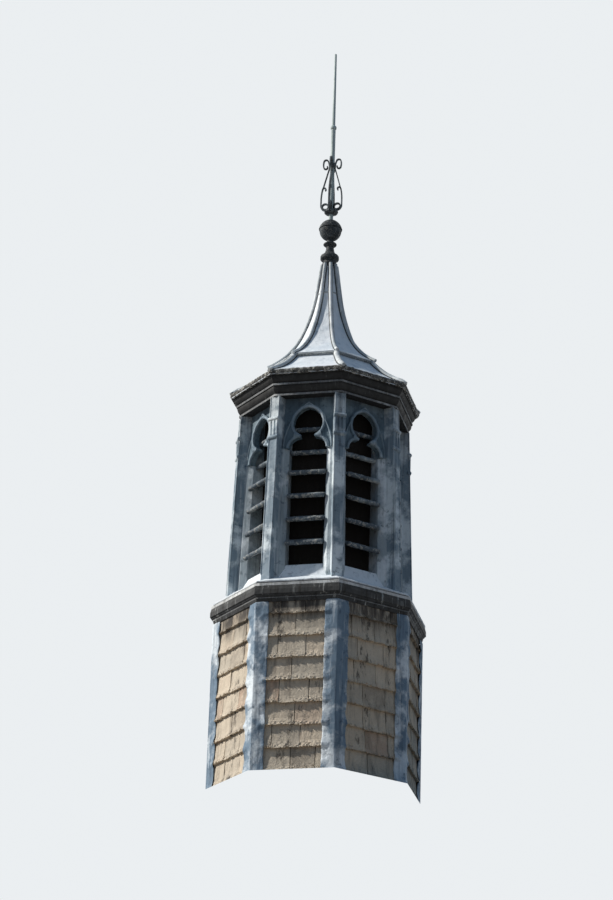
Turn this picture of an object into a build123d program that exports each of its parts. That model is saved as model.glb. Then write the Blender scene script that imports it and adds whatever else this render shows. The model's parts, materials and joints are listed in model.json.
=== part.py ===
from build123d import *
from math import asin, atan, cos, degrees, isclose, radians, sin, tan
import os

# Roof cupola: an eight-sided slated drum, a louvred lantern with cusped arch heads,
# a bell-cast lead spire in two flights and a finial with wrought scrollwork.
# Origin at the middle of the foot, +Z up, the front faces -Y. Sizes in millimetres;
# a radius of an eight-sided piece is taken to its corners, from the axis.

os.makedirs("parts", exist_ok=True)

# the eight sides, anticlockwise from the one that faces +X
side_names = (
    "right",
    "back_right",
    "back",
    "back_left",
    "left",
    "front_left",
    "front",
    "front_right",
)
side_count = len(side_names)
half_turn = 180 / side_count
across = cos(radians(half_turn))

# small round forms are dressed in flats, each turning by this many degrees
facet_turn = 18
turned_flats = 24
bell_flats = 4
flare_flats = 6
skirt_flats = 6

# drum
drum_radius = 1000
drum_height = 1640
drum_wall_thickness = 110
cladding_drop = 30
corner_lead_thickness = 25
corner_lead_width = 120

# moulding and deck over the drum
deck_height = 150
bed_overhang = 4
bed_height = 26
bed_fillet = 16
bed_hollow = 7
bed_splay = 8
drip_overhang = 35
drip_height = 42
weathering_height = 70
weathering_overhang = 17

# lantern: the wall between the posts leans in as it rises
lantern_height = 1953
lantern_set_back = 178
wall_lean = 64
post_width = 96
post_projection = 66
jamb_margin = 20
jamb_splay = 44
lining_thickness = 22

# apron and sills under the openings
apron_set_in = 16
apron_gap = 12
apron_lip = 12
apron_overhang = 28
apron_rise = 95
sill_rise = 260
sill_depth = 62

# arch heads
head_height = 525
head_thickness = 62
cusp_gap = 134
cusp_thickness = 14
upper_lobe_radius = 143
point_rise = 170
arch_band_width = 30
arch_band_projection = 9
arch_margin = 14
arch_crown = 46
panel_sinking = 16

# carved collars of the posts
collar_rise = 82
collar_height = 225
collar_roll_radius = 19
collar_roll_overhang = 9
collar_bar = 20
collar_bar_gap = 17
collar_bar_projection = 12

# louvres
blade_count = 6
blade_first_rise = 205
blade_last_rise = 222
blade_slope = 28
blade_thickness = 20
nosing_radius = 22
nosing_setback = 12
blade_clearance = 3

# eaves cornice
cornice_height = 207
lower_fillet_overhang = 12
lower_fillet_height = 25
upper_fillet_overhang = 30
upper_fillet_rise = 99
upper_fillet_height = 24
soffit_overhang = 37
soffit_fillet = 14
cove_set_in = 14
cove_hollow = 12

# roof: lower flight
drip_edge_height = 50
drip_edge_thickness = 20
drip_edge_clearance = 3
drip_edge_lap = 12
skirt_height = 362
skirt_run = 373
skirt_hollow = 28
skirt_seat = 34
roof_thickness = 32

# roof: upper flight, a straight neck, a long bell curve and a shorter flare at its foot
flare_height = 348
flare_top_radius = 250
bell_height = 483
bell_top_radius = 114
neck_height = 337
neck_top_radius = 66

# lead rolls on the hips
hip_roll_width = 50
hip_roll_top = 24
hip_roll_rise = 24
hip_roll_bed = 20
skirt_roll_width = 66
skirt_roll_top = 36
skirt_roll_rise = 27

# finial
collar_skirt_height = 60
collar_skirt_flare = 24
collar_band = 54
collar_cap_height = 22
collar_cap_set_in = 6
baluster_height = 83
baluster_waist_radius = 38
baluster_flats = 3
disc_radius = 65
disc_edge = 14
disc_chamfer = 10
ball_stem = 37
ball_radius = 110
ball_lap = 5
ball_lap_rise = 10
rod_radius = 22
lower_rod_length = 1069
rod_joint_radius = 30
rod_joint_height = 34
upper_rod_radius = 16
upper_rod_length = 863
tip_radius = 11

# wrought scrollwork
scroll_count = 4
scroll_bar = 13
scroll_depth = 22
scroll_clearance = 0.3
leaf_knot_rise = 76
leaf_knot_height = 62
leaf_knot_radius = 54
leaf_knot_edge = 30
bracket_reach = 112
bracket_radius = 210
bracket_half_turn = 36
bracket_foot_radius = 40
bracket_foot_turn = 44
bracket_curl_radius = 18
bracket_curl_turn = 234
leaf_radius = 34
leaf_turn = 108
leaf_width = 38
strap_rise = 96
strap_height = 262
neck_knot_height = 44
neck_knot_radius = 34
neck_knot_edge = 20
bow_rise = 74
bow_loop_radius = 26
bow_drop = 74
bow_curl_radius = 20
bow_curl_turn = 216

# heights that the pieces share
cladding_height = drum_height - cladding_drop
deck_top = drum_height + deck_height
lantern_top = deck_top + lantern_height
sill_height = deck_top + sill_rise
springing = lantern_top - head_height
cornice_top = lantern_top + cornice_height
spire_foot_height = cornice_top + skirt_height
flare_top = spire_foot_height + flare_height
bell_top = flare_top + bell_height
spire_top = bell_top + neck_height

# radii that the pieces share
wall_radius_foot = drum_radius - lantern_set_back
wall_radius_top = wall_radius_foot - wall_lean
lower_fillet_radius = wall_radius_top + post_projection + lower_fillet_overhang
upper_fillet_radius = lower_fillet_radius + upper_fillet_overhang
soffit_radius = upper_fillet_radius + soffit_overhang
eaves_radius = soffit_radius + drip_edge_clearance + drip_edge_thickness
spire_foot_radius = eaves_radius - skirt_run


def corner_plane(side, back=0.0):
    """Upright plane through the corner on one side, or parallel to it and `back` short of it."""
    normal = Vector(-sin(radians(half_turn)), side * cos(radians(half_turn)), 0)
    return Plane(origin=-back * normal, z_dir=normal)


def trim_to_corners(back=0.0):
    for side in (1, -1):
        split(bisect_by=corner_plane(side, back), keep=Keep.BOTTOM)


def beside_post(distance):
    """Half the clear width between two posts, at a distance from the axis."""
    return distance * tan(radians(half_turn)) - post_width / 2 / across


def wall_radius(height):
    return wall_radius_foot - wall_lean * (height - deck_top) / lantern_height


def wall_plane(height):
    """Distance from the axis to the face of the lantern's wall."""
    return wall_radius(height) * across


def turn_at(rise, radius):
    """Degrees round a circle at which it stands a rise above its middle."""
    return degrees(asin(rise / radius))


def round_points(middle, radius, start, end):
    """Points round a middle from one angle to another, one for each flat's end."""
    flats = max(1, round(abs(end - start) / facet_turn))
    turns = [radians(start + (end - start) * flat / flats) for flat in range(flats + 1)]
    return [(middle[0] + radius * cos(turn), middle[1] + radius * sin(turn)) for turn in turns]


def ring_taper(radius, next_radius, height):
    """Degrees that the flats of a turned ring lean, between the radii of its two ends."""
    return degrees(atan((radius - next_radius) * cos(radians(180 / turned_flats)) / height))


def bent_bar(middle, radius, start, end):
    """Outline of a flat bar that is bent round a middle."""
    outside = round_points(middle, radius + scroll_bar / 2, start, end)
    inside = round_points(middle, radius - scroll_bar / 2, end, start)
    return outside + inside


# Each piece is drawn for the side that faces +X, or the corner on +X, and turned into place.

half_opening = beside_post(wall_plane(springing)) - jamb_margin - jamb_splay
lining_face = (half_opening + post_width / 2 / across) / tan(radians(half_turn))
shaft_face = lining_face - lining_thickness
slate_face = drum_radius * across - corner_lead_thickness
wide = drum_radius

# drum walls
with BuildPart() as drum_wall:
    with BuildSketch(Plane.XZ):
        with Locations((slate_face - drum_wall_thickness, 0)):
            Rectangle(drum_wall_thickness, drum_height, align=(Align.MIN, Align.MIN))
    extrude(amount=wide, both=True)
    trim_to_corners()

# lead strips dressed round the corners of the drum
with BuildPart() as corner_lead:
    with BuildSketch():
        with BuildLine():
            arris = Vector(drum_radius, 0)
            along = Vector(-sin(radians(half_turn)), cos(radians(half_turn)))
            inward = -Vector(cos(radians(half_turn)), sin(radians(half_turn)))
            edge = arris + along * corner_lead_width
            Polyline(
                arris,
                edge,
                edge + inward * corner_lead_thickness,
                (slate_face / across, 0),
                arris,
            )
        make_face()
        mirror(about=Plane.XZ)
    extrude(amount=cladding_height)

with BuildPart() as drum_corner_leads:
    with PolarLocations(0, side_count, start_angle=half_turn):
        add(corner_lead.part)
drum_corner_leads.part.label = "drum_corner_leads"
export_step(drum_corner_leads.part, "parts/drum_corner_leads.step")

# moulding over the drum, in one with the deck that carries the lantern
with BuildPart() as deck_side:
    with BuildSketch(Plane.XZ):
        with BuildLine():
            bed_face = (drum_radius + bed_overhang) * across
            bed_top = cladding_height + bed_height + bed_fillet
            drip_face = (drum_radius + drip_overhang) * across
            drip_top = deck_top - weathering_height
            cove_foot = (bed_face - bed_splay, bed_top)
            cove_top = (drip_face - bed_splay, drip_top - drip_height)
            weathering_face = (drum_radius + weathering_overhang) * across
            Polyline(
                (shaft_face, drum_height),
                (slate_face, drum_height),
                (slate_face, cladding_height),
                (bed_face - bed_splay, cladding_height),
                (bed_face, cladding_height + bed_height),
                (bed_face, bed_top),
                cove_foot,
            )
            SagittaArc(cove_foot, cove_top, -bed_hollow)
            Polyline(
                cove_top,
                (drip_face, drip_top - drip_height),
                (drip_face, drip_top),
                (weathering_face, deck_top),
                (shaft_face, deck_top),
                (shaft_face, drum_height),
            )
        make_face()
    extrude(amount=wide, both=True)
    trim_to_corners()

with BuildPart() as drum_cornice:
    with PolarLocations(0, side_count):
        add(deck_side.part)
drum_cornice.part.label = "drum_cornice"
export_step(drum_cornice.part, "parts/drum_cornice.step")

# corner posts; each has a carved collar, with three upright bars between two rolls
with BuildPart() as corner_post:
    outer_foot = wall_radius(deck_top) + post_projection
    outer_top = wall_radius(lantern_top) + post_projection
    half_post = post_width / 2
    heel = (lining_face - half_post * sin(radians(half_turn))) / across
    with BuildSketch(Plane.XY.offset(deck_top)):
        with BuildLine():
            Polyline(
                (lining_face / across, 0),
                (heel, half_post),
                (outer_foot, half_post),
                (outer_foot, -half_post),
                (heel, -half_post),
                (lining_face / across, 0),
            )
        make_face()
    extrude(amount=lantern_height)
    with BuildSketch(Plane.XZ):
        with BuildLine():
            Polyline(
                (0, deck_top),
                (outer_foot, deck_top),
                (outer_top, lantern_top),
                (0, lantern_top),
                (0, deck_top),
            )
        make_face()
    extrude(amount=post_width, both=True, mode=Mode.INTERSECT)
    collar_foot = springing + collar_rise
    collar_face = wall_radius(collar_foot + collar_height / 2) + post_projection
    with BuildSketch(Plane.XZ):
        with Locations((collar_face, collar_foot + collar_height / 2)):
            with GridLocations(0, collar_height - 2 * collar_roll_radius, 1, 2):
                RegularPolygon(
                    collar_roll_radius, side_count, major_radius=False, rotation=half_turn
                )
    extrude(amount=half_post + collar_roll_overhang, both=True)
    with BuildSketch(Plane.XY.offset(collar_foot + collar_roll_radius)):
        with Locations((collar_face, 0)):
            with GridLocations(0, collar_bar + collar_bar_gap, 1, 3):
                Rectangle(2 * collar_bar_projection, collar_bar)
    extrude(amount=collar_height - 2 * collar_roll_radius)

for number in range(side_count):
    with BuildPart() as turned_post:
        add(corner_post.part, rotation=(0, 0, 360 / side_count * (number + 0.5)))
    turned_post.part.label = f"corner_post_{number + 1}"
    export_step(turned_post.part, f"parts/corner_post_{number + 1}.step")

# splayed jambs between the posts and the openings
with BuildPart() as window_jamb:
    with BuildSketch(Plane.XZ):
        with BuildLine():
            Polyline(
                (0, deck_top),
                (wall_plane(deck_top), deck_top),
                (wall_plane(springing), springing),
                (0, springing),
                (0, deck_top),
            )
        make_face()
    extrude(amount=-wide)
    split(bisect_by=Plane.XZ.offset(-half_opening), keep=Keep.BOTTOM)
    split(bisect_by=corner_plane(1, post_width / 2), keep=Keep.BOTTOM)
    splay_foot = Vector(wall_plane(deck_top), half_opening + jamb_splay, deck_top)
    splay_head = Vector(wall_plane(springing), half_opening + jamb_splay, springing)
    splay_dir = Vector(1, 1, 0)
    splay = Plane(
        origin=splay_foot,
        x_dir=splay_dir,
        z_dir=splay_dir.cross(splay_head - splay_foot),
    )
    split(bisect_by=splay, keep=Keep.BOTTOM)

with BuildPart() as window_jambs:
    with PolarLocations(0, side_count):
        add(window_jamb.part)
        add(mirror(window_jamb.part, about=Plane.XZ, mode=Mode.PRIVATE))
window_jambs.part.label = "window_jambs"
export_step(window_jambs.part, "parts/window_jambs.step")

# arch heads: the opening has a wide lower lobe and a pointed upper one, with cusps between
with BuildSketch(Plane.YZ) as opening:
    with BuildLine():
        cusp_face = cusp_gap / 2
        lower_lobe_radius = half_opening - cusp_face
        cusp_foot = springing + lower_lobe_radius
        cusp_drop = (upper_lobe_radius**2 - cusp_face**2) ** 0.5
        lobe_height = cusp_foot + cusp_thickness + cusp_drop
        point_radius = (upper_lobe_radius**2 + point_rise**2) / (2 * upper_lobe_radius)
        point_middle = (upper_lobe_radius - point_radius, lobe_height)
        point_turn = turn_at(point_rise, point_radius)
        cusp_turn = turn_at(cusp_drop, upper_lobe_radius)
        lower_lobe = round_points((cusp_face, springing), lower_lobe_radius, 0, 90)
        upper_lobe = round_points((0, lobe_height), upper_lobe_radius, -cusp_turn, 0)
        point = round_points(point_middle, point_radius, 0, point_turn)
        Polyline((0, springing), *lower_lobe, *upper_lobe, *point[1:], close=True)
    make_face()
    mirror(about=Plane.YZ)

# a plain pointed arch encloses the lobes, and the spandrels outside it are sunk
with BuildPart() as spandrel_sinking:
    with BuildSketch(Plane.XZ):
        with BuildLine():
            Polyline(
                (wall_plane(springing) - panel_sinking, springing),
                (wide, springing),
                (wide, lantern_top),
                (wall_plane(lantern_top) - panel_sinking, lantern_top),
                (wall_plane(springing) - panel_sinking, springing),
            )
        make_face()
    extrude(amount=wide, both=True)
    with BuildSketch(Plane.YZ):
        with BuildLine():
            arch_span = beside_post(wall_plane(springing)) - arch_margin
            arch_rise = lobe_height + point_rise + arch_crown - springing
            arch_radius = (arch_span**2 + arch_rise**2) / (2 * arch_span)
            arch_middle = (arch_span - arch_radius, springing)
            arch = round_points(arch_middle, arch_radius, 0, turn_at(arch_rise, arch_radius))
            Polyline((0, springing), *arch, close=True)
        make_face()
        mirror(about=Plane.YZ)
    extrude(amount=wide, mode=Mode.SUBTRACT)

# a raised band follows the lobes, and stands on the sunk spandrels where it crosses them
with BuildPart() as arch_band:
    with BuildSketch(Plane.XZ):
        with BuildLine():
            Polyline(
                (wall_plane(springing) - panel_sinking, springing),
                (wall_plane(springing) + arch_band_projection, springing),
                (wall_plane(lantern_top) + arch_band_projection, lantern_top),
                (wall_plane(lantern_top) - panel_sinking, lantern_top),
                (wall_plane(springing) - panel_sinking, springing),
            )
        make_face()
    extrude(amount=wide, both=True)
    with BuildSketch(Plane.YZ):
        add(opening.sketch_local)
        offset(amount=arch_band_width, kind=Kind.INTERSECTION)
    extrude(amount=wide, mode=Mode.INTERSECT)

with BuildPart() as arch_head:
    with BuildSketch(Plane.XZ):
        with BuildLine():
            Polyline(
                (wall_plane(springing) - head_thickness, springing),
                (wall_plane(springing), springing),
                (wall_plane(lantern_top), lantern_top),
                (wall_plane(lantern_top) - head_thickness, lantern_top),
                (wall_plane(springing) - head_thickness, springing),
            )
        make_face()
    extrude(amount=wide, both=True)
    add(spandrel_sinking.part, mode=Mode.SUBTRACT)
    add(arch_band.part)
    trim_to_corners(post_width / 2)
    with BuildSketch(Plane.YZ):
        add(opening.sketch_local)
    extrude(amount=wide, mode=Mode.SUBTRACT)

# louvre blades with rounded noses; those above the springing stand behind the arch head
with BuildPart() as louvre_blades:
    with BuildSketch(Plane.XZ):
        lowest = sill_height + blade_first_rise
        pitch = (springing + blade_last_rise - lowest) / (blade_count - 1)
        half_cut = blade_thickness / 2 / cos(radians(blade_slope))
        for blade in range(blade_count):
            nose_height = lowest + blade * pitch
            nose = wall_plane(nose_height) - nosing_setback
            if nose_height + nosing_radius > springing:
                nose = wall_plane(nose_height) - head_thickness - nosing_radius - blade_clearance
            back_height = nose_height + (nose - lining_face) * tan(radians(blade_slope))
            with Locations((nose, nose_height)):
                RegularPolygon(nosing_radius, side_count, major_radius=False, rotation=half_turn)
            with BuildLine():
                Polyline(
                    (nose, nose_height - half_cut),
                    (nose, nose_height + half_cut),
                    (lining_face, back_height + half_cut),
                    (lining_face, back_height - half_cut),
                    (nose, nose_height - half_cut),
                )
            make_face()
    extrude(amount=half_opening - blade_clearance, both=True)

for index, name in enumerate(side_names):
    for piece, label in (
        (drum_wall, f"drum_wall_{name}"),
        (arch_head, f"arch_head_{name}"),
        (louvre_blades, f"louvres_{name}"),
    ):
        with BuildPart() as turned_piece:
            add(piece.part, rotation=(0, 0, 360 / side_count * index))
        turned_piece.part.label = label
        export_step(turned_piece.part, f"parts/{label}.step")

# boarding behind the louvres
with BuildPart() as inner_lining:
    with BuildSketch(Plane.XY.offset(deck_top)):
        RegularPolygon(lining_face, side_count, major_radius=False, rotation=half_turn)
        RegularPolygon(
            shaft_face, side_count, major_radius=False, rotation=half_turn, mode=Mode.SUBTRACT
        )
    extrude(amount=lantern_height)
inner_lining.part.label = "inner_lining"
export_step(inner_lining.part, "parts/inner_lining.step")

# lead apron and sills, cut to fit round the posts and jambs
with BuildPart() as apron_side:
    with BuildSketch(Plane.XZ):
        with BuildLine():
            apron_edge = weathering_face - apron_set_in * across
            lip_foot = deck_top + apron_gap
            lip_top = lip_foot + apron_lip
            apron_head = lip_top + apron_rise
            Polyline(
                (lining_face, deck_top),
                (apron_edge - apron_overhang, deck_top),
                (apron_edge - apron_overhang, lip_foot),
                (apron_edge, lip_foot),
                (apron_edge, lip_top),
                (wall_plane(apron_head), apron_head),
                (wall_plane(sill_height) - sill_depth, sill_height),
                (lining_face, sill_height),
                (lining_face, deck_top),
            )
        make_face()
    extrude(amount=wide, both=True)
    trim_to_corners()

with BuildPart() as lantern_apron:
    with PolarLocations(0, side_count):
        add(apron_side.part)
    with PolarLocations(0, side_count, start_angle=half_turn):
        add(corner_post.part, mode=Mode.SUBTRACT)
    add(window_jambs.part, mode=Mode.SUBTRACT)
lantern_apron.part.label = "lantern_apron"
export_step(lantern_apron.part, "parts/lantern_apron.step")

# cornice that carries the roof
with BuildPart() as cornice_side:
    with BuildSketch(Plane.XZ):
        with BuildLine():
            lower_face = lower_fillet_radius * across
            upper_face = upper_fillet_radius * across
            soffit_face = soffit_radius * across
            lower_fillet_top = lantern_top + lower_fillet_height
            upper_fillet_foot = lantern_top + upper_fillet_rise
            upper_fillet_top = upper_fillet_foot + upper_fillet_height
            soffit_foot = cornice_top - soffit_fillet
            Polyline(
                (shaft_face, lantern_top),
                (lower_face, lantern_top),
                (lower_face, lower_fillet_top),
                (lower_face - cove_set_in, lower_fillet_top),
            )
            SagittaArc(
                (lower_face - cove_set_in, lower_fillet_top),
                (upper_face - cove_set_in / 2, upper_fillet_foot),
                -cove_hollow,
            )
            Polyline(
                (upper_face - cove_set_in / 2, upper_fillet_foot),
                (upper_face, upper_fillet_foot),
                (upper_face, upper_fillet_top),
                (upper_face - cove_set_in, upper_fillet_top),
            )
            SagittaArc(
                (upper_face - cove_set_in, upper_fillet_top),
                (soffit_face - cove_set_in / 2, soffit_foot),
                -cove_hollow,
            )
            Polyline(
                (soffit_face - cove_set_in / 2, soffit_foot),
                (soffit_face, soffit_foot),
                (soffit_face, cornice_top),
                (shaft_face, cornice_top),
                (shaft_face, lantern_top),
            )
        make_face()
    extrude(amount=wide, both=True)
    trim_to_corners()

with BuildPart() as eaves_cornice:
    with PolarLocations(0, side_count):
        add(cornice_side.part)
eaves_cornice.part.label = "eaves_cornice"
export_step(eaves_cornice.part, "parts/eaves_cornice.step")

# upper flight of the roof: steep and straight under the finial, then curving outwards
with BuildLine() as spire_line:
    Line((bell_top_radius * across, bell_top), (neck_top_radius * across, spire_top))
    bell_curve = TangentArc(
        (bell_top_radius * across, bell_top),
        (flare_top_radius * across, flare_top),
        tangent=((bell_top_radius - neck_top_radius) * across, -neck_height),
    )
    flare_curve = TangentArc(
        bell_curve @ 1,
        (spire_foot_radius * across, spire_foot_height),
        tangent=bell_curve % 1,
    )
flare_fall = flare_curve % 1
spire_foot = flare_curve @ 1
spire_under = spire_foot + Vector(flare_fall.Y, -flare_fall.X) * roof_thickness

with BuildPart() as spire_side:
    with BuildSketch(Plane.XZ):
        with BuildLine():
            add(spire_line.line)
            offset(amount=roof_thickness, side=Side.RIGHT)
        make_face()
    extrude(amount=wide, both=True)
    trim_to_corners()

with BuildPart() as roof_spire:
    with PolarLocations(0, side_count):
        add(spire_side.part)
    split(bisect_by=Plane.XY.offset(spire_top), keep=Keep.BOTTOM)
roof_spire.part.label = "roof_spire"
export_step(roof_spire.part, "parts/roof_spire.step")

# lower flight: it starts under the foot of the spire and sweeps out to the drip edge
drip_edge_face = eaves_radius * across
drip_edge_foot = cornice_top - drip_edge_lap
drip_edge_top = drip_edge_foot + drip_edge_height
with BuildLine() as skirt_line:
    SagittaArc((drip_edge_face, drip_edge_top), (spire_under.X, spire_under.Y), skirt_hollow)

with BuildPart() as skirt_side:
    with BuildSketch(Plane.XZ):
        with BuildLine():
            drip_edge_back = drip_edge_face - drip_edge_thickness * across
            seat_end = spire_under - Vector(flare_fall.X, flare_fall.Y) * skirt_seat
            inner_foot = drip_edge_back - skirt_seat
            add(skirt_line.line)
            Line((spire_under.X, spire_under.Y), (seat_end.X, seat_end.Y))
            SagittaArc((seat_end.X, seat_end.Y), (inner_foot, cornice_top), -skirt_hollow)
            Polyline(
                (inner_foot, cornice_top),
                (drip_edge_back, cornice_top),
                (drip_edge_back, drip_edge_foot),
                (drip_edge_face, drip_edge_foot),
                (drip_edge_face, drip_edge_top),
            )
        make_face()
    extrude(amount=wide, both=True)
    trim_to_corners()

with BuildPart() as roof_skirt:
    with PolarLocations(0, side_count):
        add(skirt_side.part)
roof_skirt.part.label = "roof_skirt"
export_step(roof_skirt.part, "parts/roof_skirt.step")

# lead rolls down the hips, bedded in short straight runs on the two slopes that meet there
bell_points = [bell_curve @ (flat / bell_flats) for flat in range(bell_flats)]
bell_points += [flare_curve @ (flat / flare_flats) for flat in range(flare_flats + 1)]
skirt_points = [skirt_line.line @ (flat / skirt_flats) for flat in range(skirt_flats + 1)]
with BuildPart() as roof_form:
    with BuildSketch(Plane.XZ):
        with BuildLine():
            Polyline(
                (neck_top_radius * across, spire_top),
                *bell_points,
                (0, spire_foot_height),
                (0, spire_top),
                close=True,
            )
        make_face()
        with BuildLine():
            Polyline(
                *skirt_points,
                spire_foot,
                (0, spire_foot.Y),
                (0, drip_edge_foot),
                (drip_edge_face, drip_edge_foot),
                close=True,
            )
        make_face()
    extrude(amount=wide, both=True)
    trim_to_corners()

with BuildPart() as hip_roll:
    with BuildLine(Plane.XZ) as spire_hip:
        bell_hip = [(point.X / across, point.Y) for point in bell_points]
        Polyline((neck_top_radius, spire_top), *bell_hip)
    with BuildLine(Plane.XZ) as skirt_hip:
        Polyline(*[(point.X / across, point.Y) for point in reversed(skirt_points)])
    for hip, foot_width, top_width, rise in (
        (spire_hip, hip_roll_width, hip_roll_top, hip_roll_rise),
        (skirt_hip, skirt_roll_width, skirt_roll_top, skirt_roll_rise),
    ):
        with BuildSketch(Plane(origin=hip.line @ 0, x_dir=(0, 1, 0), z_dir=hip.line % 0)):
            with BuildLine():
                Polyline(
                    (-foot_width / 2, -hip_roll_bed),
                    (foot_width / 2, -hip_roll_bed),
                    (top_width / 2, rise),
                    (-top_width / 2, rise),
                    close=True,
                )
            make_face()
        sweep(path=hip.line, transition=Transition.RIGHT)
    for turn in (half_turn, -half_turn):
        add(roof_form.part, rotation=(0, 0, turn), mode=Mode.SUBTRACT)
    split(bisect_by=Plane.YZ.offset(eaves_radius), keep=Keep.BOTTOM)

with BuildPart() as hip_rolls:
    with PolarLocations(0, side_count, start_angle=half_turn):
        add(hip_roll.part)
hip_rolls.part.label = "hip_rolls"
export_step(hip_rolls.part, "parts/hip_rolls.step")

# turned base of the finial: a collar, a baluster and a disc, in radii and heights
collar_top = spire_top + collar_skirt_height + collar_band + collar_cap_height
disc_foot = collar_top + baluster_height
disc_top = disc_foot + disc_edge + 2 * disc_chamfer
ball_seat = disc_top + ball_stem
seat_rise = (ball_radius**2 - baluster_waist_radius**2) ** 0.5
ball_height = ball_seat + seat_rise
rod_seat = ball_height + seat_rise

collar_radius = neck_top_radius + collar_skirt_flare
band_foot = spire_top + collar_skirt_height
cap_radius = collar_radius - collar_cap_set_in
flare = cap_radius - baluster_waist_radius
shares = [flat / baluster_flats for flat in range(baluster_flats + 1)]
baluster = [
    (baluster_waist_radius + flare * (1 - share) ** 2, collar_top + baluster_height * share)
    for share in shares
]
base_profile = [
    (neck_top_radius, spire_top),
    (collar_radius, band_foot),
    (collar_radius, band_foot + collar_band),
    *baluster,
    (disc_radius, disc_foot + disc_chamfer),
    (disc_radius, disc_top - disc_chamfer),
    (baluster_waist_radius, disc_top),
    (baluster_waist_radius, ball_seat),
]

# ball in two halves; the upper one laps over the lower
ball_middle = (0, ball_height)
ball_profile = []
for radius, foot, head in (
    (ball_radius, -seat_rise, ball_lap_rise),
    (ball_radius + ball_lap, ball_lap_rise, seat_rise),
):
    ball_profile += round_points(ball_middle, radius, turn_at(foot, radius), turn_at(head, radius))

# rod in two lengths with a joint between
joint_foot = rod_seat + lower_rod_length - rod_joint_height / 2
joint_top = joint_foot + rod_joint_height
tip_height = rod_seat + lower_rod_length + upper_rod_length
rod_profile = [
    (rod_radius, rod_seat),
    (rod_radius, joint_foot),
    (rod_joint_radius, joint_foot),
    (rod_joint_radius, joint_top),
    (upper_rod_radius, joint_top),
    (tip_radius, tip_height),
]

# the turned pieces, each a stack of rings from its foot up
for label, profile in (
    ("finial_base", base_profile),
    ("finial_ball", ball_profile),
    ("finial_rod", rod_profile),
):
    with BuildPart() as turned_piece:
        for lower, upper in zip(profile, profile[1:]):
            broad, narrow = max(lower, upper), min(lower, upper)
            height = upper[1] - lower[1]
            if not isclose(lower[1], upper[1]):
                taper = ring_taper(broad[0], narrow[0], height)
                with BuildSketch(Plane.XY.offset(broad[1])):
                    RegularPolygon(broad[0], turned_flats)
                ring = extrude(amount=height, taper=taper, mode=Mode.PRIVATE)
                if broad is upper:
                    ring = mirror(ring, about=Plane.XY.offset(broad[1]), mode=Mode.PRIVATE)
                add(ring)
    turned_piece.part.label = label
    export_step(turned_piece.part, f"parts/{label}.step")

# wrought scrollwork: on each of four sides a bracket with a rolled end, a strap that leans in
# to the neck and a bow over it, all of flat bar
leaf_knot_foot = rod_seat + leaf_knot_rise
leaf_knot_top = leaf_knot_foot + leaf_knot_height
bar_face = rod_radius + scroll_bar / 2
bracket_line = bracket_reach - scroll_bar / 2
with BuildPart() as scroll:
    with BuildSketch(Plane.XZ):
        foot_line = bracket_radius - bracket_foot_radius
        foot_end = bracket_half_turn + bracket_foot_turn
        foot_drop = foot_line * sin(radians(bracket_half_turn))
        foot_drop += bracket_foot_radius * sin(radians(foot_end))
        knot_middle = leaf_knot_foot + leaf_knot_height / 2
        bracket_middle = (bracket_line - bracket_radius, knot_middle + foot_drop)
        for tangent_radius, turn, sweep_turn in (
            (bracket_radius, 0, bracket_half_turn),
            (bracket_radius, 0, -bracket_half_turn),
            (bracket_foot_radius, -bracket_half_turn, -bracket_foot_turn),
            (bracket_curl_radius, bracket_half_turn, bracket_curl_turn),
        ):
            away = bracket_radius - tangent_radius
            middle = (
                bracket_middle[0] + away * cos(radians(turn)),
                bracket_middle[1] + away * sin(radians(turn)),
            )
            with BuildLine():
                Polyline(*bent_bar(middle, tangent_radius, turn, turn + sweep_turn), close=True)
            make_face()
        strap_foot = bracket_middle[1] + strap_rise
        strap_turn = turn_at(strap_rise, bracket_radius)
        strap_reach = bracket_middle[0] + bracket_radius * cos(radians(strap_turn))
        neck_knot_foot = strap_foot + strap_height
        with BuildLine():
            Polyline(
                (strap_reach - scroll_bar / 2, strap_foot),
                (strap_reach + scroll_bar / 2, strap_foot),
                (bar_face + scroll_bar / 2, neck_knot_foot),
                (rod_radius, neck_knot_foot),
                close=True,
            )
        make_face()
        bow_height = neck_knot_foot + bow_rise
        bow_middle = bar_face + bow_loop_radius
        bow_line = bow_middle + bow_loop_radius
        with Locations((bar_face, neck_knot_foot)):
            Rectangle(scroll_bar, bow_rise, align=(Align.CENTER, Align.MIN))
        with Locations((bow_line, bow_height)):
            Rectangle(scroll_bar, bow_drop, align=(Align.CENTER, Align.MAX))
        with BuildLine():
            Polyline(*bent_bar((bow_middle, bow_height), bow_loop_radius, 180, 0), close=True)
        make_face()
        curl_middle = (bow_line - bow_curl_radius, bow_height - bow_drop)
        with BuildLine():
            Polyline(*bent_bar(curl_middle, bow_curl_radius, 0, -bow_curl_turn), close=True)
        make_face()
    extrude(amount=scroll_depth / 2, both=True)

# broad leaves between the brackets, curling out from the leaf knot
with BuildPart() as leaf:
    with BuildSketch(Plane.XZ):
        with BuildLine():
            leaf_root = leaf_knot_edge + scroll_bar / 2
            leaf_middle = (leaf_root + leaf_radius, leaf_knot_top - scroll_bar)
            Polyline(*bent_bar(leaf_middle, leaf_radius, 180, 180 - leaf_turn), close=True)
        make_face()
    extrude(amount=leaf_width / 2, both=True)

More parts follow.
